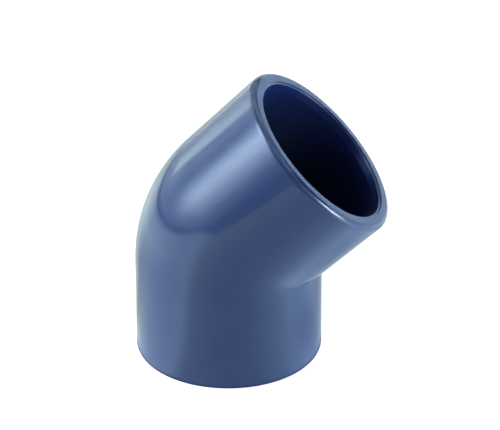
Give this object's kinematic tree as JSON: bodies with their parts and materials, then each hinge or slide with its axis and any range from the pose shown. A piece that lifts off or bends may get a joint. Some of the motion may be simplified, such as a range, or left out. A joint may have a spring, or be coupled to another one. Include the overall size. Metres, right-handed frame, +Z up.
{
  "type": "pipe elbow",
  "caption": "45 degree pipe elbow with a plain solvent-weld socket at each end, turning an irrigation pipe run by half a right angle.",
  "frame": {"origin": "centre of the lower socket's mouth, in the plane of its mouth face, which is the plane that the elbow stands on", "axes": "+Z up the lower socket's axis, into the elbow; the upper socket leans towards +X in the XZ plane; +Y across the elbow"},
  "size_m": [0.0821, 0.0616, 0.0943],
  "materials": {
    "pvc_dark_grey": "smooth glossy moulded dark blue-grey PVC-U"
  },
  "bodies": {
    "root": {"elbow_body": "pvc_dark_grey"}
  },
  "joints": []
}
